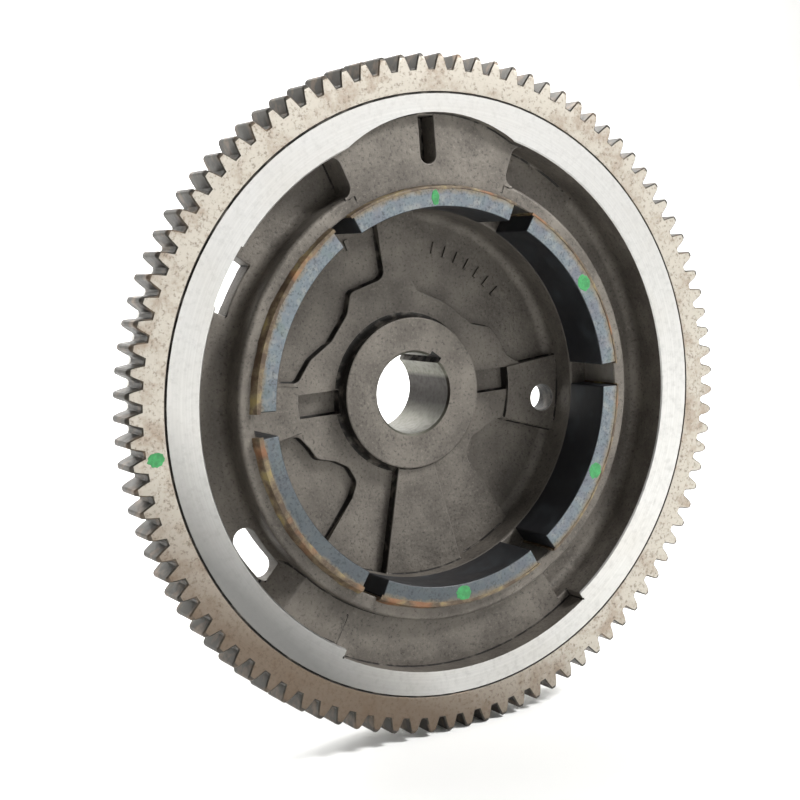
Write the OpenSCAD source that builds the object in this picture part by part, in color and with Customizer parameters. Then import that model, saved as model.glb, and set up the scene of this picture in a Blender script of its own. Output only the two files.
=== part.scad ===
// Flywheel of a small engine: an iron casting with a shrunk-on starter ring gear, six charging
// magnets bonded into its cup, and an ignition magnet between two pole shoes in its drum.
// The shaft axis is Y. The cup opens towards -Y, where the engine is, and the cooling fan bolts
// on at +Y. Z runs up through the timing slot. The origin is on the shaft axis, where the bore's
// wall begins inside its engine-side bevel. Sections are drawn with z along the shaft, towards
// the engine, and with the hub's engine-side face at z = 0.

/* [Hub] */
// Diameter of the crankshaft bore
bore_d = 31.5; // [26:0.5:38]
// Bevel at both ends of the bore
bore_bevel = 0.8; // [0.3:0.1:1.5]
// Width of the keyway
keyway_w = 5; // [3:0.1:6]
// Depth of the keyway, from the bore's wall
keyway_depth = 2.2; // [1:0.1:3]
// Direction of the keyway, turned from +X towards +Z
keyway_angle = 50; // [0:1:359]
// Thickness of iron between the bore and the hub's outside
hub_wall = 13.6; // [11:0.2:17]
// Length of the hub, from its engine-side face to its nut seat
hub_length = 31.4; // [26:0.2:38]
// Fillet at the foot of the hub
hub_fillet = 2.5; // [1:0.1:4]
// Rounding of the hub's outer edge
hub_edge = 0.8; // [0.4:0.1:1.2]

/* [Web] */
// Depth of the web's land below the hub's engine-side face
land_drop = 6.1; // [5:0.1:7.5]
// Depth of the core pockets below the land
pocket_depth = 3.4; // [2.5:0.1:4.2]
// Thickness of the web, from the land to its back
web_t = 9; // [7.5:0.1:11]
// Rise of the counterweight wedge over the land
wedge_rise = 4.3; // [3:0.1:5]
// Width of the counterweight wedge at the hub
wedge_root_w = 15.6; // [13:0.2:19]
// Width of the counterweight wedge at the cup's wall
wedge_end_w = 35; // [29:0.5:42]
// Rise of the two side blocks over the land
block_rise = 1.2; // [0.6:0.1:2]
// Distance from the hub to the side blocks
block_gap = 17.5; // [14.5:0.5:20]
// Width of the notches between the hub and the side blocks
notch_w = 9; // [7.5:0.1:11]
// Where the right side block starts and ends, turned from +X towards +Z
right_block_span = [-19.5, 5.5]; // [-30:0.5:20]
// Where the left side block starts and ends
left_block_span = [171, 191.5]; // [160:0.5:200]
// Direction of the service hole
service_hole_angle = -9; // [-14:0.5:0]
// Diameter of the service hole through a side block
service_hole_d = 10.8; // [9:0.1:12]
// Distance from the service hole's centre to the cup's wall
service_hole_inset = 7; // [6.6:0.1:9]
// Pitch circle of the four fan bolts
fan_pcd = 100; // [92:1:112]
// Diameter of the fan bolt holes
fan_hole_d = 6; // [5:0.1:7]
// Iron left between the fan bolt holes and the pockets' floor
fan_hole_floor = 2.6; // [1.5:0.1:4]
// Diameter of the fan bolt bosses
fan_boss_d = 15; // [12.5:0.5:18]
// Height of the fan bolt bosses behind the web
fan_boss_h = 6; // [4:0.1:8]

/* [Magnet cup] */
// Diameter of the cup's bore, where the magnets are bonded
cup_bore_d = 156; // [130:1:188]
// Thickness of the cup's wall beside the magnets
cup_wall = 5.8; // [4.8:0.1:7]
// Height of the cup's lip over the hub's engine-side face
lip_height = 24; // [20:0.1:25]
// Height of the seat that the magnets stand on
seat_height = 5; // [4:0.1:6]
// Number of charging magnets
magnet_count = 6; // [6]
// Thickness of a charging magnet
magnet_t = 7; // [5.8:0.1:8.4]
// Length of a charging magnet along the shaft
magnet_length = 21.8; // [18:0.1:22]
// Width of the gap between two charging magnets
magnet_gap = 8.4; // [7:0.1:10]
// Thickness of the resin between a magnet and the cup
bond_t = 0.6; // [0.3:0.1:0.8]
// Fillet along the edge of the cup's floor
floor_fillet = 4; // [2:0.1:5]
// Rounding of the cup lip's outer edge
lip_edge = 1.6; // [0.8:0.1:2.4]

/* [Channel and rim] */
// Width of the channel between the cup and the rim
channel_w = 15.3; // [12.7:0.1:18.4]
// Height of the channel's floor over the hub's engine-side face
channel_height = 11.2; // [9.4:0.1:12.4]
// Thickness of the channel's floor
channel_floor_t = 8; // [6.7:0.1:9.6]
// Fillet along the foot of the channel's walls
channel_fillet = 4; // [2:0.1:4.8]
// Width of the rim's machined face
rim_w = 12.6; // [10.5:0.1:15.2]
// Height of the rim's machined face over the hub's engine-side face
rim_height = 27.4; // [26:0.1:33]
// Bevel of the machined edges
edge_bevel = 0.5; // [0.2:0.1:0.8]
// Length of the drum behind the ring gear
drum_length = 19.7; // [19.3:0.1:24]
// Step between the ring gear's seat and the drum
drum_step = 2.3; // [1.9:0.1:2.8]
// Half of the angle that the ignition platform spans
platform_half_angle = 22.5; // [19:0.5:27]
// Radius of the arc where the ignition platform bulges into the rim
bulge_r = 58.8; // [52:0.1:60]
// How far the bulge reaches into the rim
bulge_bite = 5.5; // [4.5:0.1:6.5]
// Width of the timing slot
timing_slot_w = 6.4; // [5.4:0.1:7.7]
// Depth of the timing slot
timing_slot_depth = 9; // [7.5:0.1:10.8]
// Rise of the counterweight over the channel's floor
counterweight_rise = 7.2; // [6:0.1:8.6]
// Where the counterweight starts and ends, turned from +X towards +Z
counterweight_span = [224, 299]; // [180:1:359]
// Depth of the recess in the rim beside the counterweight
rim_recess = 3.2; // [2.6:0.1:3.9]
// Where the rim's recess starts and ends
rim_recess_span = [239, 302]; // [180:1:359]
// Iron between the timing slot and the channel's inner wall
slot_wall = 2.4; // [1.5:0.1:4]
// Rise of the floor beside the ignition platform
shelf_rise = 2; // [1.6:0.1:2.4]
// Where that raised floor ends
shelf_end = 45; // [40:1:55]
// Width of the kidney slot through the channel's floor
kidney_w = 9; // [7.5:0.1:10]
// Distance of the kidney slot from the middle of the channel, towards the shaft
kidney_inset = 1; // [0:0.1:1.4]
// Where the centres of the kidney slot's round ends are
kidney_span = [208, 216.5]; // [190:0.5:222]
// Width of the window through the channel's floor
window_w = 12; // [9:0.1:13]
// How far the window bites into the rim
window_bite = 1.1; // [0.8:0.1:1.4]
// Where the window starts and ends
window_span = [141.5, 154.5]; // [125:0.5:185]

/* [Ring gear] */
// Gear module, the pitch diameter over the number of teeth
gear_module = 2.54; // [2.1:0.01:3.1]
// Least thickness of the gear's band under its teeth
gear_band = 8.3; // [6.9:0.1:10]
// Width of the gear along the shaft
gear_w = 13.7; // [11.4:0.1:16.5]
// Pressure angle of the teeth
pressure_angle = 20; // [17:1:24]
// Thinning of each tooth at the pitch circle, for backlash
gear_backlash = 0.2; // [0.1:0.05:0.4]
// Bevel at the teeth's ends
tooth_bevel = 1.4; // [0.8:0.1:2]

/* [Ignition magnet] */
// Half of the angle from the middle to the pocket's end
ignition_half_angle = 12; // [10:0.5:14]
// Half of the angle that the magnet spans
ignition_magnet_half_angle = 3.6; // [3:0.1:4.3]
// Depth of the pocket into the drum
ignition_depth = 8.5; // [7.1:0.1:9.5]
// Width of the pocket along the shaft
ignition_w = 15; // [12.5:0.1:16]
// Thickness of the potting round the magnet and the pole shoes
potting_t = 0.8; // [0.6:0.1:1]
// How far the magnet lies below the pole shoes
magnet_sink = 0.6; // [0.3:0.1:1]
// How far the potting lies below the pole shoes
potting_sink = 0.2; // [0.1:0.1:0.5]

/* [Hidden] */
$fn = 96;
// How far a cut or a joined solid reaches past the face that it goes through
over = 1;
// Gap between the magnets' inner faces and the circle of the cup's floor
floor_gap = 0.2;
// Fillets and roundings of the casting's back
back_fillet = 3;
drum_edge = 1;

bore_r = bore_d / 2;
hub_r = bore_r + hub_wall;
cup_r = cup_bore_d / 2;
magnet_out_r = cup_r - bond_t;
magnet_in_r = magnet_out_r - magnet_t;
floor_r = magnet_in_r + floor_gap;
cup_out_r = cup_r + cup_wall;
rim_in_r = cup_out_r + channel_w;
seat_r = rim_in_r + rim_w;
drum_r = seat_r + drum_step;

land_z = -land_drop;
pocket_z = land_z - pocket_depth;
web_back_z = land_z - web_t;
gear_back_z = rim_height - gear_w;
drum_back_z = gear_back_z - drum_length;
channel_back_z = channel_height - channel_floor_t;
boss_z = web_back_z - fan_boss_h;
ignition_z0 = (drum_back_z + gear_back_z - ignition_w) / 2;
ignition_z1 = ignition_z0 + ignition_w;
ignition_floor_r = drum_r - ignition_depth;
shoe_half_angle = ignition_half_angle - potting_t / drum_r * 180 / PI;
fan_hole_angles = [45, 135, 225, 315];

teeth = round(2 * (seat_r + gear_band) / gear_module + 2.5);
pitch_r = gear_module * teeth / 2;
root_r = pitch_r - 1.25 * gear_module;
tip_r = pitch_r + gear_module;
base_r = pitch_r * cos(pressure_angle);
magnet_arc = 360 / magnet_count - magnet_gap / magnet_in_r * 180 / PI;
bulge_centre = rim_in_r + bulge_bite - bulge_r;

// Corners of the core pockets: distance from the hub, angle, and rounding. A point at "wall" lies
// well beyond the cup's wall, which closes the pocket.
wall = 1.6 * floor_r - hub_r;
pockets = [
    [[wall, 95.6, 0], [16, 97, 4], [16.4, 117, 3], [10.5, 125, 5], [8.8, 143, 6], [14, 157, 5],
     [17.5, 169, 3], [wall, 171, 0]],
    [[wall, 5, 0], [25, 5.5, 3], [19.5, 11, 3], [18.3, 19, 3], [17, 27, 4], [10.5, 36, 5],
     [9.6, 58, 8], [10.5, 77, 5], [15.5, 82.5, 5], [wall, 82.5, 0]],
    [[wall, 189, 0], [19.5, 193, 3], [16.8, 200, 3], [16, 207, 3], [10.5, 214.5, 4],
     [8.2, 223, 4], [10.6, 232.5, 4], [17, 234.5, 0], [wall, 232.5, 0]],
    [[wall, 305, 0], [9, 311, 6], [6.4, 323, 4], [15.5, 339.5, 4], [wall, 341, 0]]
];

// Foundry tally bars on the pocket floors: angle, distance from the cup's wall, radial length,
// and width
tally_bars = [
    for (i = [0:6]) [71 - 5.6 * i, 13, 4.6, 1.3],
    for (i = [0:3]) [108 + 6 * i, 9, i % 2 == 0 ? 4 : 1.8, 1.8],
    for (i = [0:1]) [199 + 11 * i, 9, 2.6, 2.6]
];
tally_rise = 0.8;

function polar(r, a) = [r * cos(a), r * sin(a)];
function unit(v) = v / norm(v);

// The arc that rounds corner p between its neighbours, or p itself where r is 0
function corner(before, p, after, r, steps) =
    r <= 0 ? [p] :
    let (u = unit(before - p), v = unit(after - p), half = acos(u * v) / 2,
         c = p + unit(u + v) * r / sin(half),
         a = p + u * r / tan(half) - c, b = p + v * r / tan(half) - c,
         start = atan2(a.y, a.x), sweep = (atan2(b.y, b.x) - start + 540) % 360 - 180)
    [for (i = [0:steps]) c + polar(r, start + sweep * i / steps)];

// A closed outline whose points are [x, y, rounding]
function rounded(points, steps = 5) =
    let (n = len(points), at = [for (p = points) [p[0], p[1]]])
    [for (i = [0:n - 1]) each corner(at[(i + n - 1) % n], at[i], at[(i + 1) % n],
                                     points[i][2], steps)];

function from_hub(p) =
    let (xy = polar(hub_r + p[0], p[1])) [xy.x, xy.y, p[2]];

// Half of the angle that a tooth spans at radius r
function involute(a) = tan(a) * 180 / PI - a;
function tooth_half_angle(r) =
    (PI * gear_module / 2 - gear_backlash) / pitch_r * 90 / PI
    + involute(pressure_angle) - involute(acos(base_r / r));

// Turns a section drawn round z into the part's frame
module on_shaft() {
    translate([0, -bore_bevel, 0]) rotate([90, 0, 0]) children();
}

// Everything between two angles, from radius r0 to r1 and from height z0 to z1
module sector(r0, r1, a0, a1, z0, z1) {
    rotate([0, 0, a0]) rotate_extrude(angle = a1 - a0)
        polygon([[r0, z0], [r1, z0], [r1, z1], [r0, z1]]);
}

module disc(r, z0, z1) {
    translate([0, 0, z0]) cylinder(r = r, h = z1 - z0);
}

// Cup, web, channel and rim as one revolved section
module revolved_casting() {
    rotate_extrude() polygon(rounded([
        [0, web_back_z, 0], [0, pocket_z, 0], [floor_r, pocket_z, floor_fillet],
        [floor_r, seat_height - edge_bevel, 0], [floor_r + edge_bevel, seat_height, 0],
        [cup_r, seat_height, 0], [cup_r, lip_height - edge_bevel, 0],
        [cup_r + edge_bevel, lip_height, 0], [cup_out_r, lip_height, lip_edge],
        [cup_out_r, channel_height, channel_fillet], [rim_in_r, channel_height, channel_fillet],
        [rim_in_r, rim_height - edge_bevel, 0], [rim_in_r + edge_bevel, rim_height, 0],
        [seat_r - edge_bevel, rim_height, 0], [seat_r, rim_height - edge_bevel, 0],
        [seat_r, gear_back_z, 0], [drum_r, gear_back_z, 0], [drum_r, drum_back_z, drum_edge],
        [rim_in_r, drum_back_z, drum_edge], [rim_in_r, channel_back_z, back_fillet],
        [cup_out_r - 2, channel_back_z, back_fillet], [floor_r + 2, web_back_z, back_fillet]
    ]));
}

module hub() {
    rotate_extrude() polygon(rounded([
        [0, -hub_length, 0], [0, 0, 0], [hub_r, 0, hub_edge], [hub_r, land_z, hub_fillet],
        [hub_r + 5, land_z, 0], [hub_r + 5, web_back_z, 0], [hub_r, web_back_z, back_fillet],
        [hub_r, -hub_length, hub_edge]
    ]));
}

// The raised parts of the web: lands, side blocks, wedge and tally bars
module web_relief() {
    difference() {
        disc(floor_r + over, pocket_z, land_z);
        for (outline = pockets) translate([0, 0, pocket_z - over])
            linear_extrude(pocket_depth + 2 * over) polygon(rounded([for (p = outline) from_hub(p)]));
    }
    for (span = [right_block_span, left_block_span])
        sector(hub_r + block_gap, floor_r + over, span[0], span[1], land_z - over,
               land_z + block_rise);
    translate([0, 0, land_z - over]) linear_extrude(wedge_rise + over)
        polygon([[-wedge_root_w / 2, -hub_r + 2], [-wedge_end_w / 2, -floor_r - 0.1],
                 [wedge_end_w / 2, -floor_r - 0.1], [wedge_root_w / 2, -hub_r + 2]]);
    for (bar = tally_bars) rotate([0, 0, bar[0]])
        translate([floor_r - bar[1] - bar[2] / 2, -bar[3] / 2, pocket_z - over])
            cube([bar[2], bar[3], tally_rise + over]);
}

// The ignition platform is level with the cup's lip, and its outer edge bulges into the rim
module ignition_platform() {
    intersection() {
        sector(cup_r + 2, drum_r, 90 - platform_half_angle, 90 + platform_half_angle,
               channel_back_z + over, lip_height);
        translate([0, bulge_centre, channel_back_z]) cylinder(r = bulge_r + over, h = lip_height);
    }
}

// Room for the bulge in the rim, cut before the platform is put in
module bulge_cut() {
    intersection() {
        translate([0, bulge_centre, lip_height - 3 * over]) cylinder(r = bulge_r, h = rim_height);
        sector(rim_in_r - over, drum_r, 90.3 - platform_half_angle, 89.7 + platform_half_angle,
               lip_height - 3 * over, rim_height + over);
    }
}

// What fills the channel: ignition platform, its fillets, the shelf beside it, counterweight
module channel_fill() {
    ignition_platform();
    for (side = [0, 1]) mirror([side, 0, 0]) rotate([0, 0, 90 - platform_half_angle]) {
        end_fillet(rim_in_r - channel_fillet, rim_in_r + over);
        end_fillet(cup_out_r + channel_fillet, cup_out_r - over);
    }
    sector(cup_r + 2, rim_in_r + 2, shelf_end, 90, channel_back_z + over,
           channel_height + shelf_rise);
    counterweight();
}

// The raised floor opposite the ignition platform, with a ramp up to it at its start
module counterweight() {
    top_z = channel_height + counterweight_rise;
    ramp_slope = 0.65;
    ramp_reach = (counterweight_rise + 2) / ramp_slope;
    difference() {
        sector(cup_r + 2, rim_in_r + 2, counterweight_span[0] - ramp_reach / cup_out_r * 180 / PI,
               counterweight_span[1], channel_back_z + over, top_z);
        rotate([0, 0, counterweight_span[0]]) rotate([90, 0, 90]) linear_extrude(rim_in_r + 10)
            polygon([[over, top_z + ramp_slope * over], [-2 * ramp_reach, top_z + ramp_slope * over],
                     [-2 * ramp_reach, top_z - 2 * ramp_reach * ramp_slope]]);
    }
}

// Rounds the upright corner between the platform's end and a channel wall. The end lies along
// x, centre_r is where the fillet's own axis is, and wall_r is inside the wall it meets.
module end_fillet(centre_r, wall_r) {
    lean = asin(channel_fillet / centre_r);
    translate([0, 0, channel_back_z + over])
        linear_extrude(lip_height - channel_back_z - over) difference() {
            polygon([[centre_r * cos(lean), 0.5], [centre_r * cos(lean), -channel_fillet],
                     polar(wall_r, -lean), [wall_r, 0.5]]);
            translate([centre_r * cos(lean), -channel_fillet]) circle(r = channel_fillet, $fn = 48);
        }
}

module fan_bosses() {
    for (a = fan_hole_angles) rotate([0, 0, a])
        translate([fan_pcd / 2, 0, boss_z]) cylinder(d = fan_boss_d, h = fan_boss_h + over, $fn = 48);
}

module bore_cut() {
    disc(bore_r, -hub_length - over, over);
    for (side = [0, 1]) translate([0, 0, -side * hub_length]) mirror([0, 0, side])
        rotate_extrude() polygon([[0, over], [bore_r + bore_bevel + over, over],
                                  [bore_r, -bore_bevel], [0, -bore_bevel]]);
    rotate([0, 0, keyway_angle]) translate([0, -keyway_w / 2, -hub_length - over])
        cube([bore_r + keyway_depth, keyway_w, hub_length + 2 * over]);
}

module web_cuts() {
    for (a = [0, 180]) rotate([0, 0, a])
        translate([hub_r, -notch_w / 2, pocket_z])
            cube([block_gap, notch_w, pocket_depth + over]);
    rotate([0, 0, service_hole_angle]) translate([floor_r - service_hole_inset, 0, web_back_z - over])
        cylinder(d = service_hole_d, h = web_t + block_rise + 2 * over, $fn = 48);
    for (a = fan_hole_angles) rotate([0, 0, a]) translate([fan_pcd / 2, 0, boss_z - over])
        cylinder(d = fan_hole_d, h = pocket_z - fan_hole_floor - boss_z + over, $fn = 48);
}

module channel_cuts() {
    slot_end = rim_in_r + bulge_bite - 1;
    slot_start = cup_out_r + slot_wall + timing_slot_w / 2;
    translate([0, slot_start, lip_height - timing_slot_depth]) {
        cylinder(d = timing_slot_w, h = rim_height, $fn = 48);
        translate([-timing_slot_w / 2, 0, 0])
            cube([timing_slot_w, slot_end - slot_start, timing_slot_depth + over / 4]);
    }
    sector(cup_out_r + channel_fillet, rim_in_r + rim_recess, rim_recess_span[0], rim_recess_span[1],
           channel_height + counterweight_rise, rim_height + over);
    kidney_r = (cup_out_r + rim_in_r) / 2 - kidney_inset;
    sector(kidney_r - kidney_w / 2, kidney_r + kidney_w / 2, kidney_span[0], kidney_span[1],
           channel_back_z - over, channel_height + over);
    for (a = kidney_span) rotate([0, 0, a]) translate([kidney_r, 0, channel_back_z - over])
        cylinder(d = kidney_w, h = channel_floor_t + 2 * over, $fn = 48);
    sector(rim_in_r + window_bite - window_w, rim_in_r + window_bite, window_span[0],
           window_span[1], drum_back_z - over, rim_height + over);
}

module ignition_pocket() {
    sector(ignition_floor_r, drum_r + over, 90 - ignition_half_angle, 90 + ignition_half_angle,
           ignition_z0, ignition_z1);
}
module flywheel_body() {
    color("dimgray") on_shaft() difference() {
        union() {
            difference() {
                revolved_casting();
                bulge_cut();
            }
            hub();
            web_relief();
            channel_fill();
            fan_bosses();
        }
        bore_cut();
        web_cuts();
        channel_cuts();
        ignition_pocket();
    }
}

module ring_gear() {
    flank = [root_r, (root_r + tip_r) / 2, tip_r];
    outline = [for (i = [0:teeth - 1]) let (mid = (i + 0.5) * 360 / teeth) each concat(
        [for (r = flank) polar(r, mid - tooth_half_angle(r))],
        [for (k = [2:-1:0]) polar(flank[k], mid + tooth_half_angle(flank[k]))])];
    color("darkgray") on_shaft() difference() {
        intersection() {
            translate([0, 0, gear_back_z]) linear_extrude(gear_w) polygon(outline);
            rotate_extrude() polygon([[0, gear_back_z], [tip_r - tooth_bevel / 2, gear_back_z],
                [tip_r + over, gear_back_z + tooth_bevel / 2 + over],
                [tip_r + over, rim_height - tooth_bevel / 2 - over / 2],
                [tip_r - tooth_bevel, rim_height], [0, rim_height]]);
        }
        disc(seat_r, gear_back_z - over, rim_height + over);
        rotate_extrude() polygon([[seat_r - over, rim_height + over],
            [seat_r + edge_bevel + over, rim_height + over], [seat_r, rim_height - edge_bevel],
            [seat_r - over, rim_height - edge_bevel]]);
    }
}

module charging_magnet(i) {
    middle = (i - 0.5) * 360 / magnet_count;
    color("slategray") on_shaft() sector(magnet_in_r, magnet_out_r, middle - magnet_arc / 2,
        middle + magnet_arc / 2, seat_height, seat_height + magnet_length);
}

module magnet_resin(i) {
    middle = (i - 0.5) * 360 / magnet_count;
    color("peru") on_shaft() sector(magnet_out_r, cup_r, middle - magnet_arc / 2,
        middle + magnet_arc / 2, seat_height, lip_height - edge_bevel);
}

module ignition_magnet() {
    color("#33353a") on_shaft() sector(ignition_floor_r + potting_t, drum_r - magnet_sink,
        90 - ignition_magnet_half_angle, 90 + ignition_magnet_half_angle,
        ignition_z0 + potting_t, ignition_z1 - potting_t);
}

// A pole shoe on the side of the magnet that the angle's sign gives
module pole_shoe(side) {
    inner = 90 + side * ignition_magnet_half_angle;
    outer = 90 + side * shoe_half_angle;
    color("silver") on_shaft() sector(ignition_floor_r + potting_t, drum_r, min(inner, outer),
        max(inner, outer), ignition_z0 + potting_t, ignition_z1 - potting_t);
}

module ignition_potting() {
    color("saddlebrown") on_shaft() difference() {
        sector(ignition_floor_r, drum_r - potting_sink, 90 - ignition_half_angle,
               90 + ignition_half_angle, ignition_z0, ignition_z1);
        sector(ignition_floor_r + potting_t, drum_r + over, 90 - shoe_half_angle,
               90 + shoe_half_angle, ignition_z0 + potting_t, ignition_z1 - potting_t);
    }
}

flywheel_body();
ring_gear();
charging_magnet(1);  // charging_magnet_1
charging_magnet(2);  // charging_magnet_2
charging_magnet(3);  // charging_magnet_3
charging_magnet(4);  // charging_magnet_4
charging_magnet(5);  // charging_magnet_5
charging_magnet(6);  // charging_magnet_6
magnet_resin(1);  // magnet_resin_1
magnet_resin(2);  // magnet_resin_2
magnet_resin(3);  // magnet_resin_3
magnet_resin(4);  // magnet_resin_4
magnet_resin(5);  // magnet_resin_5
magnet_resin(6);  // magnet_resin_6
ignition_magnet();
pole_shoe(1);  // leading_pole_shoe
pole_shoe(-1);  // trailing_pole_shoe
ignition_potting();
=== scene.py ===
"""Looks of an engine flywheel: its bevelled and poured pieces, and their finishes."""

import math

import bmesh
import bpy
from bpy.props import FloatProperty, FloatVectorProperty, PointerProperty
from mathutils import Matrix, Vector, noise


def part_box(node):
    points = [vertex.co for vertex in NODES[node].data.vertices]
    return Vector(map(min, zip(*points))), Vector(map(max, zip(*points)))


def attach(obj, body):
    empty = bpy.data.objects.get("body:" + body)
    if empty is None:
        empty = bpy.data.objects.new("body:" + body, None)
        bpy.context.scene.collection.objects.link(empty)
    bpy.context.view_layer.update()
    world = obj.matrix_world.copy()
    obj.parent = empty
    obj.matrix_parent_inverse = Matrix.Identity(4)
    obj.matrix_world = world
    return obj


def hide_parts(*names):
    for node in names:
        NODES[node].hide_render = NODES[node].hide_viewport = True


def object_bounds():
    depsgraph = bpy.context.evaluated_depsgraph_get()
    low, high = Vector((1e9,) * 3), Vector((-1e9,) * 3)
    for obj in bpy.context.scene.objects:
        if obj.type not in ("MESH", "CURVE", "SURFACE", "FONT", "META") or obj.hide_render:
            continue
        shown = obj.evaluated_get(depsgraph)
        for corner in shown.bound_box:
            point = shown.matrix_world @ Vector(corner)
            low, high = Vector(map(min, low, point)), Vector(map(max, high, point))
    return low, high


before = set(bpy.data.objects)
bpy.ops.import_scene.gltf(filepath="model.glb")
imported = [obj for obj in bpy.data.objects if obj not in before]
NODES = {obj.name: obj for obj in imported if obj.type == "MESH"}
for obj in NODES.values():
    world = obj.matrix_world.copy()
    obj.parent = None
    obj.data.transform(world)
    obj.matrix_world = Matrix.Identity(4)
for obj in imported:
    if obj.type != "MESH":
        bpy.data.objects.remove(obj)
CAD_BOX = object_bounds()

bl_info = {
    "name": "Engine Flywheel",
    "version": (1, 0, 0),
    "blender": (4, 5, 0),
    "location": "3D View > Sidebar > Flywheel",
    "description": "Builds the visible pieces of a starter-geared engine flywheel",
    "category": "Object",
}

MM = 0.001
MAGNETS = sorted(name for name in NODES if name.startswith("charging_magnet_"))
RESINS = sorted(name for name in NODES if name.startswith("magnet_resin_"))
BODY = "root"
MERGE = 0.002 * MM
SHARP = math.radians(33)      # edges turned more than this are edges of the real shape


def mesh_radii(name):
    """Least and greatest distance from the shaft axis to the corners of a CAD node's mesh."""
    radii = [math.hypot(v.co.x, v.co.z) for v in NODES[name].data.vertices]
    return min(radii), max(radii)


def mesh_angles(name):
    """First and last angle of a CAD node's mesh round the shaft, from +X towards +Z."""
    middle = math.atan2(sum(v.co.z for v in NODES[name].data.vertices),
                        sum(v.co.x for v in NODES[name].data.vertices))
    turns = [(math.atan2(v.co.z, v.co.x) - middle + math.pi) % math.tau - math.pi
             for v in NODES[name].data.vertices]
    return middle + min(turns), middle + max(turns)


def round_shaft(radius, y, angle):
    """The point at that distance from the shaft axis, place along it, and angle round it."""
    return Vector((radius * math.cos(angle), y, radius * math.sin(angle)))


# Places that the pieces share, read from the frame
RIM_FACE_Y, NUT_SEAT_Y = (corner.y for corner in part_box("flywheel_body"))
BORE_R, DRUM_R = mesh_radii("flywheel_body")
SEAT_R = mesh_radii("ring_gear")[0]
MAGNET_IN_R, MAGNET_OUT_R = mesh_radii(MAGNETS[0])
CUP_R = mesh_radii(RESINS[0])[1]
MAGNET_FRONT_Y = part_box(MAGNETS[0])[0].y
LIP_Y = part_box(RESINS[0])[0].y
SEAT_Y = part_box(RESINS[0])[1].y

# Places inside the casting, which no node's box shows
HUB_L = 31.4 * MM
HUB_R = BORE_R + 13.6 * MM
HUB_FACE_Y = NUT_SEAT_Y - HUB_L
LAND_Y = HUB_FACE_Y + 6.1 * MM        # where the web's land meets the hub's foot
BEHIND_WEB_Y = NUT_SEAT_Y / 2         # inside the web, so all beyond it is the fan side


# ---------------------------------------------------------------- settings

def linear(hex_colour):
    """Linear RGB of an sRGB hex colour such as #5E5953."""
    channels = [int(hex_colour[i:i + 2], 16) / 255 for i in (1, 3, 5)]
    return tuple(c / 12.92 if c <= 0.04045 else ((c + 0.055) / 1.055) ** 2.4 for c in channels)


def length(name, description, mm):
    return FloatProperty(name=name, description=description, default=mm * MM, min=0.0,
                         unit="LENGTH")


def colour(name, description, hex_colour):
    return FloatVectorProperty(name=name, description=description, default=linear(hex_colour),
                               min=0.0, max=1.0, size=3, subtype="COLOR")


class FlywheelSizes(bpy.types.PropertyGroup):
    cast_round: length("Cast rounding", "Rounding of the casting's raised and sunk edges", 0.5)
    machined_edge: length("Machined edge", "Broken edge where a cutter has passed", 0.25)
    gear_edge: length("Gear edge", "Rounding of the gear's edges", 0.45)
    magnet_edge: length("Magnet edge", "Tumbled rounding of the magnets' edges", 0.6)
    bead_w: length("Resin bead width", "How far the resin spreads over the cup's lip", 1.5)
    bead_climb: length("Resin climb", "How far the resin spreads over the magnets' ends", 1.3)
    bead_wave: length("Resin unevenness", "How far the bead's surface wanders", 0.5)
    bead_overrun: length("Resin overrun", "How far the bead runs past a magnet's ends", 0.6)
    bead_heavy: FloatProperty(name="Heavy side", subtype="ANGLE", default=math.radians(205),
                              description="Side of the cup where most of the resin ran")
    dab_t: length("Paint thickness", "Thickness of a dab of marking paint", 0.14)
    dab_w: length("Paint width", "Width of a dab of marking paint", 7.0)


class FlywheelColours(bpy.types.PropertyGroup):
    iron: colour("Cast iron", "Dark warm grey of the casting skin", "#5E5953")
    iron_pale: colour("Pale cast iron", "Dusty parts of the casting skin", "#8C867D")
    iron_rubbed: colour("Rubbed iron", "Edges where the casting skin has worn off", "#6E6963")
    # Painted shade: a near-black laid where shade falls on the casting, in its inner corners, the
    # hub's foot, the walls of the pockets, the channel and the keyway.
    iron_corner: colour("Shaded iron", "Inner corners of the casting, where dirt stays", "#1B1917")
    machined: colour("Machined iron", "Freshly turned iron", "#CDCCC9")
    bore: colour("Bore", "Ground wall of the bore", "#6F6E64")
    # Painted reflection: the dark lower half of the bore, standing in for the dark surroundings
    # that it reflects.
    bore_dark_reflection: colour("Darkened bore", "Dried oil low in the bore", "#241E1A")
    gear: colour("Gear steel", "Turned sides of the ring gear", "#BBB5AA")
    gear_stain: colour("Tarnish", "Brown tarnish on the ring gear", "#8A7663")
    flank: colour("Tooth flanks", "Oiled and hobbed flanks of the teeth", "#534F49")
    ferrite_chalky: colour("Chalky ferrite", "Dry patches of the magnets' ends", "#8B8C88")
    ferrite: colour("Ferrite", "Ground ends of the magnets", "#667076")
    film_violet: colour("Violet film", "Oil film on the magnets' ends", "#5C5A66")
    film_green: colour("Green film", "Oil film on the magnets' ends", "#56665F")
    ferrite_dark: colour("Dark ferrite", "Pressed faces of the magnets", "#16181D")
    resin: colour("Resin", "Amber adhesive", "#75674F")
    resin_dark: colour("Burnt resin", "Adhesive where it is thick or scorched", "#4A3B2C")
    resin_clear: colour("Clear resin", "Adhesive where it is thin and lets light in", "#8A7C4A")
    resin_rust: colour("Rusty resin", "Adhesive stained by the iron under it", "#94603C")
    paint: colour("Marking paint", "Green inspection paint", "#3C9A57")
    floor: colour("Floor", "Pale studio floor", "#F4F4F2")


# ---------------------------------------------------------------- material helpers

def per(mm):
    """Scale of a pattern on Object coordinates whose features are that many millimetres."""
    return 1 / (mm * MM)


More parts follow.
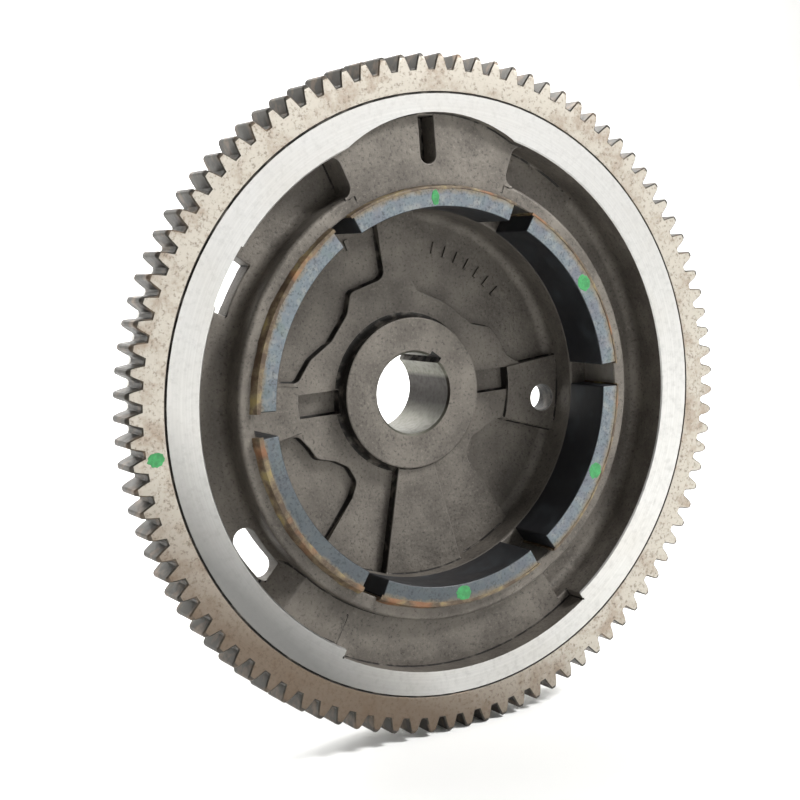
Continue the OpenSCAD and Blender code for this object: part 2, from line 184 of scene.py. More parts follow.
def add(tree, kind, inputs=None, pick=0, **settings):
    """Adds a node with its settings, fills its inputs with values or with other nodes' outputs,
    and returns the output picked by number or name."""
    node = tree.nodes.new("ShaderNode" + kind)
    for key, value in settings.items():
        setattr(node, key, value)
    for key, value in (inputs or {}).items():
        if isinstance(value, bpy.types.NodeSocket):
            tree.links.new(value, node.inputs[key])
        else:
            node.inputs[key].default_value = value
    return node.outputs[pick] if node.outputs else None


def rgba(rgb, shade=1.0):
    return (*[shade * v for v in rgb], 1.0)


def start_material(name):
    """A material with an empty tree: returns it, its tree and its Object coordinates."""
    material = bpy.data.materials.new(name)
    material.use_nodes = True
    tree = material.node_tree
    tree.nodes.clear()
    return material, tree, add(tree, "TexCoord", pick="Object")


def layered(tree, ground, *layers):
    """Lays colours over a ground colour. Each layer is a pattern, the two values of it between
    which the layer grows from nothing, its colour, and how much it hides at most."""
    for pattern, low, high, over, hides in layers:
        amount = add(tree, "MapRange", {0: pattern, 1: low, 2: high, 4: hides})
        ground = add(tree, "Mix", {0: amount, 6: ground, 7: over}, 2, data_type="RGBA")
    return ground


def close_material(tree, base, rough, bumps=(), **values):
    """Ends a tree in a Principled shader. Roughness is a pattern, the two values of it and the
    two roughnesses there, and each bump is a pattern and its height in millimetres."""
    pattern, low, high, smooth, dull = rough
    sockets = {"Base Color": base, **{key.replace("_", " "): value
                                      for key, value in values.items()}}
    sockets["Roughness"] = add(tree, "MapRange", {0: pattern, 1: low, 2: high, 3: smooth, 4: dull})
    for height, mm in bumps:
        below = {"Normal": sockets["Normal"]} if "Normal" in sockets else {}
        sockets["Normal"] = add(tree, "Bump", {"Height": height, "Distance": mm * MM,
                                               "Strength": 1.0, **below})
    surface = add(tree, "BsdfPrincipled", sockets)
    add(tree, "OutputMaterial", {"Surface": surface})


def shaft_distance(tree, at):
    """Distance of each point from the shaft axis, in metres."""
    across = add(tree, "VectorMath", {0: at, 1: (1, 0, 1)}, operation="MULTIPLY")
    return add(tree, "VectorMath", {0: across}, "Value", operation="LENGTH")


def turned_lines(tree, at, mm, detail=3.0):
    """Rings round the shaft, as a lathe tool leaves, with that many millimetres between them."""
    return add(tree, "TexNoise", {"W": shaft_distance(tree, at), "Scale": per(mm),
                                  "Detail": detail, "Roughness": 0.7}, noise_dimensions="1D")


def towards(tree, at, angle):
    """How far each point lies from the shaft towards that angle round it, in metres."""
    return add(tree, "VectorMath", {0: at, 1: round_shaft(1, 0, math.radians(angle))}, "Value",
               operation="DOT_PRODUCT")


# ---------------------------------------------------------------- materials

def sand_cast_iron(name, worn_or_shaded_to=None):
    """Grey iron as it leaves a sand mould: a dull grain, dusty patches and small pits. Its outer
    edges wear to a paler metal, and its inner corners and the walls in shade get painted shade, a
    near-black, in broken stretches."""
    c = bpy.context.scene.flywheel_colours
    material, tree, at = start_material(name)
    sand = add(tree, "TexNoise", {"Vector": at, "Scale": per(1.1), "Detail": 4.0,
                                  "Roughness": 0.65})
    dust = add(tree, "TexNoise", {"Vector": at, "Scale": per(16), "Detail": 5.0})
    wear_or_shade_breaks = add(tree, "TexNoise", {"Vector": at, "Scale": per(5), "Detail": 4.0})
    pits = add(tree, "TexVoronoi", {"Vector": at, "Scale": per(2.6)})
    layers = [(dust, 0.38, 0.72, rgba(c.iron_pale), 0.6),
              (sand, 0.56, 0.72, rgba(c.iron_pale), 0.55),
              (sand, 0.46, 0.32, rgba(c.iron, 0.4), 0.75)]
    # Either rubbed wear on outer edges, or painted shade in corners and shaded walls, broken up by
    # a noise.
    if worn_or_shaded_to:
        layers += [(wear_or_shade_breaks, 0.32, 0.5, rgba(getattr(c, worn_or_shaded_to)), 0.95)]
    close_material(tree, layered(tree, rgba(c.iron), *layers), (sand, 0.3, 0.7, 0.5, 0.68),
                   [(dust, 0.5), (pits, 0.12), (sand, 0.16)], Metallic=0.5)
    return material


def turned_iron(name):
    """Iron faced on a lathe: bright, with fine rings round the shaft and a faint oily mottle, and
    painted shade that darkens it towards the lower left. The real rings are 0.15 mm apart, and are
    drawn 0.8 mm apart so that they show."""
    c = bpy.context.scene.flywheel_colours
    material, tree, at = start_material(name)
    rings = turned_lines(tree, at, 0.8, detail=4.0)
    mottle = add(tree, "TexNoise", {"Vector": at, "Scale": per(2.4), "Detail": 5.0,
                                    "Roughness": 0.7})
    film = add(tree, "TexNoise", {"Vector": at, "Scale": per(30), "Detail": 3.0})
    base = layered(tree, rgba(c.machined), (rings, 0.35, 0.65, rgba(c.machined, 0.6), 0.22),
                   (mottle, 0.48, 0.68, rgba(c.machined, 0.6), 0.35),
                   (film, 0.45, 0.7, rgba(c.gear), 0.25),
                   # Painted shade: the faced iron darkens towards the lower left.
                   (towards(tree, at, 220), 0.076, 0.106, rgba(c.machined, 0.28), 0.95))
    close_material(tree, base, (mottle, 0.35, 0.7, 0.30, 0.46), [(mottle, 0.02), (rings, 0.03)],
                   Metallic=1.0)
    return material


def ground_bore(name):
    """Bore ground to size: smooth grey metal above, and a painted dark reflection in its lower
    half, which turns back towards grey near the bottom.
    """
    c = bpy.context.scene.flywheel_colours
    material, tree, at = start_material(name)
    scuff = add(tree, "TexNoise", {"Vector": at, "Scale": per(1.5), "Detail": 4.0})
    base = layered(tree, rgba(c.bore), (scuff, 0.45, 0.7, rgba(c.bore, 0.7), 0.5),
                   # Painted reflection: the bore darkens below its middle and lightens again near
                   # the bottom.
                   (towards(tree, at, 285), -1.5 * MM, 0.5 * MM, rgba(c.bore_dark_reflection), 0.95),
                   (towards(tree, at, 270), 6 * MM, 12 * MM, rgba(c.bore), 0.6))
    close_material(tree, base, (scuff, 0.4, 0.7, 0.4, 0.55), [(scuff, 0.01)], Metallic=0.8)
    return material


def turned_gear_steel(name):
    """Turned side of the hardened ring gear: straw and brown tarnish in patches, over rings, and
    painted shade, a darker brown, towards the lower left."""
    c = bpy.context.scene.flywheel_colours
    material, tree, at = start_material(name)
    rings = turned_lines(tree, at, 1.0)
    patches = add(tree, "TexNoise", {"Vector": at, "Scale": per(12), "Detail": 6.0,
                                     "Roughness": 0.7})
    specks = add(tree, "TexNoise", {"Vector": at, "Scale": per(1.3), "Roughness": 0.7})
    base = layered(tree, rgba(c.gear), (patches, 0.48, 0.68, rgba(c.gear_stain), 0.7),
                   # Painted shade: the gear's side darkens to brown towards the lower left.
                   (towards(tree, at, 240), 0.065, 0.11, rgba(c.gear_stain, 0.5), 0.9),
                   (specks, 0.54, 0.72, rgba(c.gear_stain, 0.5), 0.6))
    close_material(tree, base, (specks, 0.35, 0.7, 0.42, 0.62), [(specks, 0.04), (rings, 0.05)],
                   Metallic=0.8)
    return material


def hobbed_gear_steel(name):
    """Hobbed flanks and hardened tips: dark scale and old oil, with brown in the roots."""
    c = bpy.context.scene.flywheel_colours
    material, tree, at = start_material(name)
    scale = add(tree, "TexNoise", {"Vector": at, "Scale": per(2.2), "Detail": 5.0,
                                   "Roughness": 0.7})
    rust = add(tree, "TexNoise", {"Vector": at, "Scale": per(6), "Detail": 4.0})
    base = layered(tree, rgba(c.flank, 0.55), (scale, 0.4, 0.7, rgba(c.flank), 1.0),
                   (rust, 0.5, 0.72, rgba(c.gear_stain), 0.6))
    close_material(tree, base, (scale, 0.35, 0.7, 0.38, 0.6), [(scale, 0.06)], Metallic=0.7)
    return material


def ferrite(name, ground):
    """Sintered ferrite. Its ground ends are blue-grey, with a thin film of oil in violet and
    green, resin creeping in from the back, and painted shade towards the lower left. Its pressed
    faces are nearly black."""
    c = bpy.context.scene.flywheel_colours
    material, tree, at = start_material(name)
    bloom = add(tree, "TexNoise", {"Vector": at, "Scale": per(9), "Detail": 4.0})
    fine = add(tree, "TexNoise", {"Vector": at, "Scale": per(0.9)})
    if ground:
        edge = add(tree, "TexNoise", {"Vector": at, "Scale": per(4), "Detail": 4.0})
        reach = add(tree, "Math", {0: edge, 1: 4 * MM, 2: shaft_distance(tree, at)},
                    operation="MULTIPLY_ADD")
        dry = add(tree, "TexNoise", {"Vector": at, "Scale": per(3), "Detail": 4.0})
        creep = MAGNET_OUT_R - 0.4 * MM, MAGNET_OUT_R + 1.6 * MM
        base = layered(tree, rgba(c.ferrite), (dry, 0.5, 0.68, rgba(c.ferrite_chalky), 0.6),
                       (bloom, 0.5, 0.66, rgba(c.film_violet), 0.5),
                       (bloom, 0.46, 0.34, rgba(c.film_green), 0.5),
                       # Painted shade: the ground ends darken towards the lower left.
                       (towards(tree, at, 235), 0.02, 0.065, rgba(c.ferrite, 0.35), 0.85),
                       (reach, *creep, rgba(c.resin), 0.9),
                       (fine, 0.5, 0.74, rgba(c.ferrite_dark), 0.6))
    else:
        base = layered(tree, rgba(c.ferrite_dark), (bloom, 0.5, 0.7, rgba(c.ferrite, 0.35), 0.4))
    close_material(tree, base, (bloom, 0.35, 0.7, 0.45, 0.6), [(bloom, 0.12), (fine, 0.03)],
                   Metallic=0.0, IOR=1.5)
    return material


def amber_resin(name):
    """Epoxy adhesive, poured and cured: dull brown, cloudy with bubbles, clear yellow where it is
    thin, and stained orange by rust in places."""
    c = bpy.context.scene.flywheel_colours
    material, tree, at = start_material(name)
    cloud = add(tree, "TexNoise", {"Vector": at, "Scale": per(7), "Detail": 5.0,
                                   "Roughness": 0.65})
    stain = add(tree, "TexNoise", {"Vector": at, "Scale": per(11)})
    bubbles = add(tree, "TexVoronoi", {"Vector": at, "Scale": per(1.4)})
    base = layered(tree, rgba(c.resin_dark), (cloud, 0.44, 0.6, rgba(c.resin), 1.0),
                   (cloud, 0.56, 0.68, rgba(c.resin_clear), 0.7),
                   (stain, 0.58, 0.7, rgba(c.resin_rust), 0.5),
                   (bubbles, 0.2, 0.0, rgba(c.resin_dark), 0.5))
    close_material(tree, base, (cloud, 0.35, 0.7, 0.35, 0.55), [(cloud, 0.5)], IOR=1.5)
    return material


def marking_paint(name):
    """Brushed-on inspection paint: thin, streaky, half matt."""
    c = bpy.context.scene.flywheel_colours
    material, tree, at = start_material(name)
    streaks = add(tree, "TexNoise", {"Vector": at, "Scale": per(1.8), "Detail": 4.0,
                                     "Roughness": 0.7})
    base = layered(tree, rgba(c.paint, 0.6), (streaks, 0.4, 0.66, rgba(c.paint), 1.0))
    close_material(tree, base, (streaks, 0.35, 0.7, 0.38, 0.6), [(streaks, 0.12)], IOR=1.5)
    return material


def studio_floor(name):
    """Matt painted board, with the faintest roller texture."""
    c = bpy.context.scene.flywheel_colours
    material, tree, at = start_material(name)
    roller = add(tree, "TexNoise", {"Vector": at, "Scale": per(25), "Detail": 2.0})
    base = layered(tree, rgba(c.floor), (roller, 0.3, 0.7, rgba(c.floor, 0.9), 0.06))
    close_material(tree, base, (roller, 0.3, 0.7, 0.8, 0.9))
    return material


def finish(maker, name, *settings):
    """The material of that name, made the first time that it is asked for."""
    return bpy.data.materials.get(name) or maker(name, *settings)


# ---------------------------------------------------------------- mesh helpers

def merged_copy(name):
    """A copy of a CAD node's mesh, with its loose triangles joined at their corners."""
    bm = bmesh.new()
    bm.from_mesh(NODES[name].data)
    bmesh.ops.remove_doubles(bm, verts=bm.verts, dist=MERGE)
    return bm


def is_corner(edge):
    return len(edge.link_faces) == 2 and edge.calc_face_angle() > SHARP


def break_edges(bm, width, segments, picks=is_corner):
    """Bevels the edges that picks chooses, and returns the new faces."""
    edges = [e for e in bm.edges if picks(e)]
    made = bmesh.ops.bevel(bm, geom=edges, offset=width, offset_type="OFFSET", affect="EDGES",
                           segments=segments, profile=0.5, material=-1, clamp_overlap=False)
    return made["faces"]


def put_in_scene(bm, name, materials, replaced=()):
    """Turns a bmesh into a piece of the wheel: shaded smooth between its sharp edges, riding on
    the wheel, with the CAD nodes that it stands for hidden."""
    for face in bm.faces:
        face.smooth = True
    for edge in bm.edges:
        edge.smooth = not is_corner(edge)
    mesh = bpy.data.meshes.new(name)
    bm.to_mesh(mesh)
    bm.free()
    piece = bpy.data.objects.new(name, mesh)
    bpy.context.scene.collection.objects.link(piece)
    for material in materials:
        mesh.materials.append(material)
    weighted = piece.modifiers.new("Flat faces stay flat", "WEIGHTED_NORMAL")
    weighted.keep_sharp = True
    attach(piece, BODY)
    for node in replaced:
        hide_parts(node)
    return piece


def shaft_radius(point):
    return math.hypot(point.x, point.z)


# ---------------------------------------------------------------- pieces

class FLYWHEEL_OT_casting(bpy.types.Operator):
    """Build the iron casting with its cast skin, worn edges, painted shade in its corners and
    hollows, and machined faces
    """
    bl_idname = "flywheel.casting"
    bl_label = "Casting"

    CAST, RUBBED, SOOTY, TURNED, GROUND = range(5)
    LOW_STEP = 1.1 * MM
    HUB_FOOT_W = 2.8 * MM
    CUP_FOOT_W = 9 * MM
    POCKET_DEPTH = 3.6 * MM
    CHANNEL_W = 20 * MM
    SMALL_WALL = 5 * MM * MM

    def is_machined_edge(self, edge):
        """Edges of the rim, the gear's seat, the drum, the cup's bore and the shaft's bore."""
        middle = (edge.verts[0].co + edge.verts[1].co) / 2
        radius = shaft_radius(middle)
        return (radius < BORE_R + 3 * MM or radius > SEAT_R - 1 * MM
                or middle.y < RIM_FACE_Y + 1 * MM or abs(radius - CUP_R) < 1 * MM)

    def is_low_step(self, edge):
        """Edges with a short upright at an end: bevels above and below it would run together."""
        along = edge.verts[1].co - edge.verts[0].co
        for vert in edge.verts:
            for other in vert.link_edges:
                across = other.verts[1].co - other.verts[0].co
                if (other is not edge and is_corner(other) and other.calc_length() < self.LOW_STEP
                        and abs(across.dot(along)) < 0.5 * across.length * along.length):
                    return True
        return edge.calc_length() < self.LOW_STEP and abs(along.y) > 0.9 * along.length

    def surface(self, face):
        """Which finish a face has, from its place and direction."""
        middle = face.calc_center_median()
        radius = min(shaft_radius(v.co) for v in face.verts)
        along = abs(face.normal.y)
        if radius < BORE_R + 3 * MM and along < 0.9:
            # The keyway's walls get painted shade.
            keyway = max(shaft_radius(v.co) for v in face.verts) > BORE_R + 1.5 * MM
            return self.SOOTY if keyway else self.GROUND
        # The sloped faces where the rim meets the gear's seat get painted shade.
        if radius > SEAT_R - 0.8 * MM and 0.3 < along < 0.9 and middle.y < RIM_FACE_Y + MM:
            return self.SOOTY
        if middle.y < RIM_FACE_Y + 0.8 * MM or radius > DRUM_R - 0.3 * MM:
            return self.TURNED
        if radius > SEAT_R - 0.3 * MM or middle.y > NUT_SEAT_Y - 0.3 * MM:
            return self.TURNED
        if abs(radius - CUP_R) < 0.6 * MM and along < 0.5:
            return self.TURNED
        return self.SOOTY if self.in_painted_shade(face, middle, radius, along) else self.CAST

    def in_painted_shade(self, face, middle, radius, along):
        """Where painted shade goes: the hub's foot, the walls of the sunk pockets and of the tally
        bars, and the channel's side of the cup."""
        if radius < HUB_R + self.HUB_FOOT_W:
            return radius > HUB_R - 0.3 * MM and along < 0.97 and middle.y > HUB_FACE_Y
        if radius < CUP_R:
            if max(shaft_radius(v.co) for v in face.verts) > CUP_R - self.CUP_FOOT_W:
                return False
            in_pocket = LAND_Y < middle.y < LAND_Y + self.POCKET_DEPTH
            return along < 0.5 and middle.y < BEHIND_WEB_Y and (
                in_pocket or face.calc_area() < self.SMALL_WALL)
        outward = face.normal.x * middle.x + face.normal.z * middle.z
        return (radius < CUP_R + self.CHANNEL_W and LAND_Y < middle.y < BEHIND_WEB_Y
                and outward > 0 and along < 0.95)

    def execute(self, context):
        sizes = context.scene.flywheel_sizes
        bm = merged_copy("flywheel_body")
        for face in bm.faces:
            face.material_index = self.surface(face)
        # Concave edges get painted shade in their bevels, and convex edges the rubbed wear.
        for convex, mark in ((False, self.SOOTY), (True, self.RUBBED)):
            made = break_edges(bm, sizes.cast_round, 2, lambda e: is_corner(e)
                               and e.is_convex == convex and not self.is_machined_edge(e)
                               and not self.is_low_step(e))
            for face in made:
                face.material_index = mark
        put_in_scene(bm, "flywheel_casting", [
            finish(sand_cast_iron, "sand_cast_iron"),
            finish(sand_cast_iron, "rubbed_cast_iron", "iron_rubbed"),
            finish(sand_cast_iron, "sooty_cast_iron", "iron_corner"),
            finish(turned_iron, "turned_iron"),
            finish(ground_bore, "ground_bore_iron")], ["flywheel_body"])
        return {"FINISHED"}


class FLYWHEEL_OT_ring_gear(bpy.types.Operator):
    """Build the starter ring gear with rounded tooth edges, turned sides and dark flanks"""
    bl_idname = "flywheel.ring_gear"
    bl_label = "Ring gear"

    TURNED, HOBBED = range(2)

    def execute(self, context):
        bm = merged_copy("ring_gear")
        break_edges(bm, context.scene.flywheel_sizes.gear_edge, 1)
        for face in bm.faces:
            face.material_index = self.TURNED if abs(face.normal.y) > 0.9 else self.HOBBED
        put_in_scene(bm, "starter_ring_gear", [
            finish(turned_gear_steel, "turned_gear_steel"),
            finish(hobbed_gear_steel, "hobbed_gear_steel")], ["ring_gear"])
        return {"FINISHED"}


class FLYWHEEL_OT_charging_magnets(bpy.types.Operator):
    """Build the six charging magnets with tumbled edges and ground ends"""
    bl_idname = "flywheel.charging_magnets"
    bl_label = "Charging magnets"

    def execute(self, context):
        for name in MAGNETS:
            bm = merged_copy(name)
            break_edges(bm, context.scene.flywheel_sizes.magnet_edge, 3)
            for face in bm.faces:
                face.material_index = 1 if abs(face.normal.y) > 0.9 else 0
            number = name.rsplit("_", 1)[1]
            put_in_scene(bm, "ferrite_segment_" + number, [
                finish(ferrite, "pressed_ferrite", False),
                finish(ferrite, "ground_ferrite", True)], [name])
        return {"FINISHED"}


class FLYWHEEL_OT_magnet_resin(bpy.types.Operator):
    """Pour the resin behind each magnet and its uneven bead along the cup's lip"""
    bl_idname = "flywheel.magnet_resin"
    bl_label = "Magnet resin"

    STEP = math.radians(0.6)
    SKIN = 0.12 * MM              # thickness of the resin on a magnet's end
    LIGHTEST = 0.25               # share of its width that the bead keeps on its light side
    WAVE, RIPPLE, RUFFLE = per(9), per(3), per(2.5)

    def bead(self, name, sizes):
        """The film behind a magnet and the bead in front of it, spun round the shaft."""
        overrun = sizes.bead_overrun / CUP_R
        first, last = mesh_angles(name)
        first, last = first - overrun, last + overrun
        proud = LIP_Y - MAGNET_FRONT_Y
        slope = [(CUP_R + (1 - share) * MM, LIP_Y - (share ** 0.7) * proud)
                 for share in (0.2, 0.4, 0.6, 0.8)]
        profile = [(MAGNET_OUT_R, SEAT_Y), (CUP_R, SEAT_Y), (CUP_R, LIP_Y),
                   (CUP_R + 1 * MM, LIP_Y), *slope, (CUP_R, MAGNET_FRONT_Y),
                   (MAGNET_OUT_R, MAGNET_FRONT_Y - self.SKIN),
                   (MAGNET_OUT_R - 0.5 * MM, MAGNET_FRONT_Y - self.SKIN),
                   (MAGNET_OUT_R - 1 * MM, MAGNET_FRONT_Y - self.SKIN / 2),
                   (MAGNET_OUT_R - 1 * MM, MAGNET_FRONT_Y), (MAGNET_OUT_R, MAGNET_FRONT_Y)]
        bm = bmesh.new()
        outline = [bm.verts.new(round_shaft(r, y, first)) for r, y in profile]
        start = bm.faces.new(outline)
        steps = max(1, round((last - first) / self.STEP))
        bmesh.ops.spin(bm, geom=[start, *start.edges, *start.verts], cent=(0, 0, 0),
                       axis=(0, -1, 0), angle=last - first, steps=steps, use_duplicate=False)
        bmesh.ops.remove_doubles(bm, verts=bm.verts, dist=MERGE)
        return bm

    def spread(self, bm, sizes):
        """Stretches the bead, which is spun 1 mm wide each way, to its width at each angle, and
        ruffles its open surface by smooth noise."""
        for vert in bm.verts:
            radius = shaft_radius(vert.co)
            angle = math.atan2(vert.co.z, vert.co.x)
            if vert.co.y > LIP_Y + MERGE:
                continue
            turned = max(0.0, math.cos(angle - sizes.bead_heavy))
            heavy = self.LIGHTEST + (1 - self.LIGHTEST) * turned ** 0.7
            around = round_shaft(CUP_R, 0, angle)
            wander = (noise.noise(around * self.WAVE)
                      + 0.6 * noise.noise(around * self.RIPPLE))
            outward = around / CUP_R
            if radius > CUP_R + MERGE:
                width = max(0.3 * MM, sizes.bead_w * heavy + sizes.bead_wave * wander)
                vert.co += outward * (radius - CUP_R) * (width / MM - 1)
            elif radius < MAGNET_OUT_R - MERGE:
                width = max(0.2 * MM, sizes.bead_climb * heavy - sizes.bead_wave * wander)
                vert.co += outward * (radius - MAGNET_OUT_R) * (width / MM - 1)
            if MAGNET_FRONT_Y + MERGE < vert.co.y < LIP_Y - MERGE:
                vert.co.y += 0.3 * sizes.bead_wave * noise.noise(vert.co * self.RUFFLE)

    def execute(self, context):
        sizes = context.scene.flywheel_sizes
        for name in RESINS:
            bm = self.bead(name, sizes)
            self.spread(bm, sizes)
            bmesh.ops.recalc_face_normals(bm, faces=bm.faces)
            put_in_scene(bm, "resin_bead_" + name.rsplit("_", 1)[1],
                         [finish(amber_resin, "amber_resin")], [name])
        return {"FINISHED"}


class FLYWHEEL_OT_ignition_group(bpy.types.Operator):
    """Build the ignition magnet, its two pole shoes and the potting that holds them"""
    bl_idname = "flywheel.ignition_group"
    bl_label = "Ignition magnet group"

    def execute(self, context):
        sizes = context.scene.flywheel_sizes
        parts = [("ignition_magnet", "ignition_ferrite", "ferrite", sizes.magnet_edge / 2,
                  finish(ferrite, "pressed_ferrite", False)),
                 ("leading_pole_shoe", "leading_pole_block", "pole_steel", sizes.machined_edge,
                  finish(turned_iron, "turned_iron")),
                 ("trailing_pole_shoe", "trailing_pole_block", "pole_steel", sizes.machined_edge,
                  finish(turned_iron, "turned_iron")),
                 ("ignition_potting", "potting_frame", "resin", 0.2 * MM,
                  finish(amber_resin, "amber_resin"))]
        for node, name, slot, width, material in parts:
            bm = merged_copy(node)
            break_edges(bm, width, 2)
            put_in_scene(bm, name, [material], [node])
        return {"FINISHED"}


class FLYWHEEL_OT_paint_marks(bpy.types.Operator):
    """Dab inspection paint on four magnets and on the ring gear"""
    bl_idname = "flywheel.paint_marks"
    bl_label = "Paint marks"

    MAGNET_DABS = ((1, 0.9), (2, 0.45), (5, 0.9), (6, 0.9))     # magnet, share of full width
    GEAR_DAB_ANGLE = math.radians(183)
    RAGGED = 0.22

    def dab(self, name, radius, y, angle, across, along, thickness, slot):
        """A thin irregular dab that lies on a face which looks along -Y."""
        bm = bmesh.new()
        bmesh.ops.create_circle(bm, cap_ends=True, radius=0.5, segments=32)
        for vert in bm.verts:
            vert.co *= 1 + self.RAGGED * noise.noise(vert.co * 5 + Vector((angle, 0, 0)))
        bmesh.ops.scale(bm, verts=bm.verts, vec=(across, along, 1))
        top = bmesh.ops.extrude_face_region(bm, geom=bm.faces[:])["geom"]
        lifted = [v for v in top if isinstance(v, bmesh.types.BMVert)]
        bmesh.ops.translate(bm, verts=lifted, vec=(0, 0, thickness))
        bmesh.ops.scale(bm, verts=lifted, vec=(0.9, 0.9, 1))
        bmesh.ops.recalc_face_normals(bm, faces=bm.faces)
        turn = Matrix.Rotation(math.pi / 2, 4, "X")
        spin = Matrix.Rotation(-angle, 4, "Y")
        place = Matrix.Translation(round_shaft(radius, y, angle))
        bmesh.ops.transform(bm, matrix=place @ spin @ turn, verts=bm.verts)
        put_in_scene(bm, name, [finish(marking_paint, "marking_paint")])

    def execute(self, context):
        sizes = context.scene.flywheel_sizes
        middle = (MAGNET_IN_R + MAGNET_OUT_R) / 2
        thick = MAGNET_OUT_R - MAGNET_IN_R
        for number, share in self.MAGNET_DABS:
            first, last = mesh_angles("charging_magnet_%d" % number)
            self.dab("paint_dab_%d" % number, middle, MAGNET_FRONT_Y, (first + last) / 2,
                     0.8 * thick, share * sizes.dab_w, sizes.dab_t, "ferrite")
        gear_face_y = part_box("ring_gear")[0].y
        self.dab("paint_dab_gear", SEAT_R + 4.6 * MM, gear_face_y, self.GEAR_DAB_ANGLE,
                 0.85 * sizes.dab_w, 0.7 * sizes.dab_w, sizes.dab_t, "gear_steel")
        return {"FINISHED"}


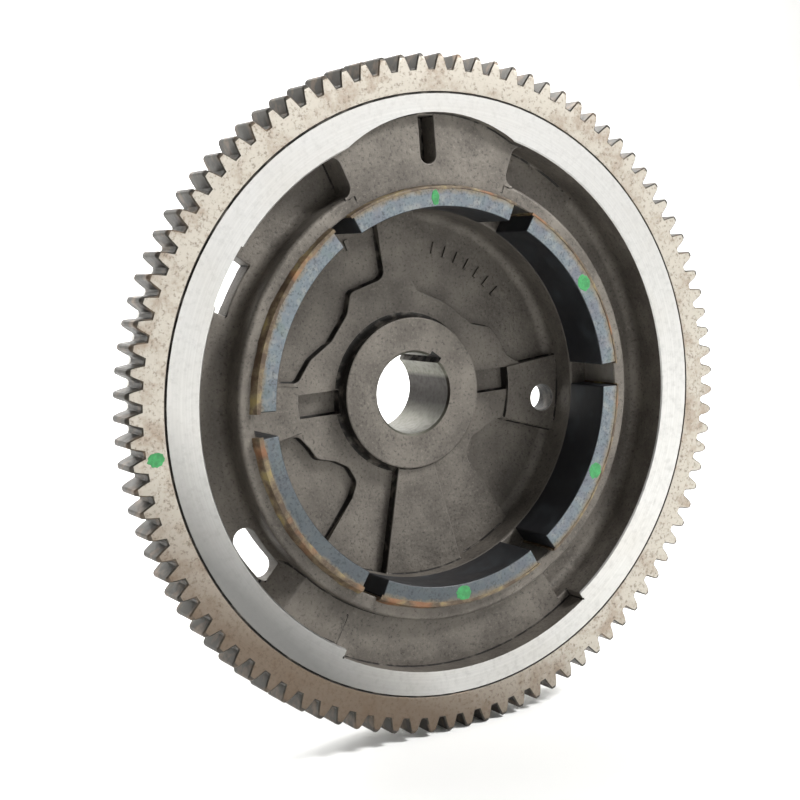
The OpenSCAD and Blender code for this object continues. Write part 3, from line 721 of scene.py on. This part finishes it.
class FLYWHEEL_OT_stage(bpy.types.Operator):
    """Set up the pale floor, the soft studio light and the camera"""
    bl_idname = "flywheel.stage"
    bl_label = "Stage"

    AZIMUTH = math.radians(29.08)     # the camera looks along +Y, turned this much towards +X
    ELEVATION = math.radians(7.19)    # and looks down this much
    ROLL = math.radians(-4.34)
    DISTANCE = 592.3 * MM
    AIM = Vector((-4.9, 1.6, -2.2)) * MM
    LENS = 69.2
    AMBIENT = 0.09
    # Name, place, width and height, watts, and the place that each light aims at
    LIGHTS = (
        ("key_light", (1.25, -1.15, 1.5), (0.55, 0.55), 66, (0, 0, 0)),
        ("front_light", (1.0, -1.9, 0.6), (1.7, 1.2), 9.5, (0, 0, 0)),
        ("left_light", (-1.2, -1.0, 1.4), (1.0, 1.0), 3, (0, 0, 0)),
        ("backdrop_light", (0.4, 1.2, 1.8), (2.5, 1.0), 140, (0.8, 2.9, 0.2)),
        ("floor_light", (-0.2, 1.0, 1.3), (2.2, 0.8), 26, (-0.1, 0.6, -0.2)),
    )

    def floor(self):
        """A floor that curves up into a backdrop."""
        bm = bmesh.new()
        low = CAD_BOX[0][2]
        half_w, front, back, bend_r, height = 4.0, -3.0, 2.2, 0.8, 3.0
        line = [bm.verts.new((side * half_w, front, low)) for side in (-1, 1)]
        edge = bm.edges.new(line)
        geom = bmesh.ops.extrude_edge_only(bm, edges=[edge])["geom"]
        moved = [v for v in geom if isinstance(v, bmesh.types.BMVert)]
        bmesh.ops.translate(bm, verts=moved, vec=(0, back - front, 0))
        bend = [g for g in geom if isinstance(g, bmesh.types.BMEdge)
                and all(v in moved for v in g.verts)]
        bmesh.ops.spin(bm, geom=bend + moved, cent=(0, back, low + bend_r), axis=(1, 0, 0),
                       angle=math.pi / 2, steps=12, use_duplicate=False)
        top = max(v.co.z for v in bm.verts)
        upper = [e for e in bm.edges if all(v.co.z > top - MM for v in e.verts)]
        geom = bmesh.ops.extrude_edge_only(bm, edges=upper)["geom"]
        bmesh.ops.translate(bm, verts=[v for v in geom if isinstance(v, bmesh.types.BMVert)],
                            vec=(0, 0, height))
        bmesh.ops.remove_doubles(bm, verts=bm.verts, dist=MERGE)
        for face in bm.faces:
            face.smooth = True
        mesh = bpy.data.meshes.new("studio_floor")
        bm.to_mesh(mesh)
        bm.free()
        floor = bpy.data.objects.new("studio_floor", mesh)
        bpy.context.scene.collection.objects.link(floor)
        mesh.materials.append(finish(studio_floor, "painted_board"))

    def light(self, name, place, size, power, aim):
        lamp = bpy.data.lights.new(name, "AREA")
        lamp.shape = "RECTANGLE"
        lamp.size, lamp.size_y = size
        lamp.energy = power
        thing = bpy.data.objects.new(name, lamp)
        thing.location = place
        thing.rotation_euler = (Vector(aim) - Vector(place)).to_track_quat("-Z", "Y").to_euler()
        bpy.context.scene.collection.objects.link(thing)

    def camera(self):
        look = Vector((math.sin(self.AZIMUTH) * math.cos(self.ELEVATION),
                       math.cos(self.AZIMUTH) * math.cos(self.ELEVATION),
                       -math.sin(self.ELEVATION)))
        lens = bpy.data.cameras.new("camera")
        lens.lens = self.LENS
        lens.sensor_width = 36
        lens.clip_start, lens.clip_end = 0.01, 50
        camera = bpy.data.objects.new("camera", lens)
        turn = look.to_track_quat("-Z", "Y").to_matrix() @ Matrix.Rotation(self.ROLL, 3, "Z")
        camera.matrix_world = (Matrix.Translation(self.AIM - self.DISTANCE * look)
                               @ turn.to_4x4())
        bpy.context.scene.collection.objects.link(camera)
        bpy.context.scene.camera = camera

    def execute(self, context):
        scene = context.scene
        scene.view_settings.view_transform = "Standard"
        self.floor()
        world = bpy.data.worlds.new("soft_room")
        world.use_nodes = True
        sky = world.node_tree.nodes["Background"].inputs
        sky["Color"].default_value = (1, 1, 1, 1)
        sky["Strength"].default_value = self.AMBIENT
        scene.world = world
        for settings in self.LIGHTS:
            self.light(*settings)
        self.camera()
        return {"FINISHED"}


OPERATORS = (FLYWHEEL_OT_casting, FLYWHEEL_OT_ring_gear, FLYWHEEL_OT_charging_magnets,
             FLYWHEEL_OT_magnet_resin, FLYWHEEL_OT_ignition_group, FLYWHEEL_OT_paint_marks,
             FLYWHEEL_OT_stage)


class FLYWHEEL_PT_pieces(bpy.types.Panel):
    """Panel with the sizes, the colours and a button for each group of pieces"""
    bl_idname = "FLYWHEEL_PT_pieces"
    bl_label = "Flywheel"
    bl_space_type = "VIEW_3D"
    bl_region_type = "UI"
    bl_category = "Flywheel"

    def draw(self, context):
        for settings in (context.scene.flywheel_sizes, context.scene.flywheel_colours):
            column = self.layout.column()
            for name in settings.__annotations__:
                column.prop(settings, name)
        for operator in OPERATORS:
            self.layout.operator(operator.bl_idname)


CLASSES = (FlywheelSizes, FlywheelColours, *OPERATORS, FLYWHEEL_PT_pieces)


def register():
    for cls in CLASSES:
        bpy.utils.register_class(cls)
    bpy.types.Scene.flywheel_sizes = PointerProperty(type=FlywheelSizes)
    bpy.types.Scene.flywheel_colours = PointerProperty(type=FlywheelColours)


def unregister():
    del bpy.types.Scene.flywheel_colours
    del bpy.types.Scene.flywheel_sizes
    for cls in reversed(CLASSES):
        bpy.utils.unregister_class(cls)


def main():
    register()
    bpy.ops.flywheel.casting()
    bpy.ops.flywheel.ring_gear()
    bpy.ops.flywheel.charging_magnets()
    bpy.ops.flywheel.magnet_resin()
    bpy.ops.flywheel.ignition_group()
    bpy.ops.flywheel.paint_marks()
    bpy.ops.flywheel.stage()


if __name__ == "__main__":
    main()
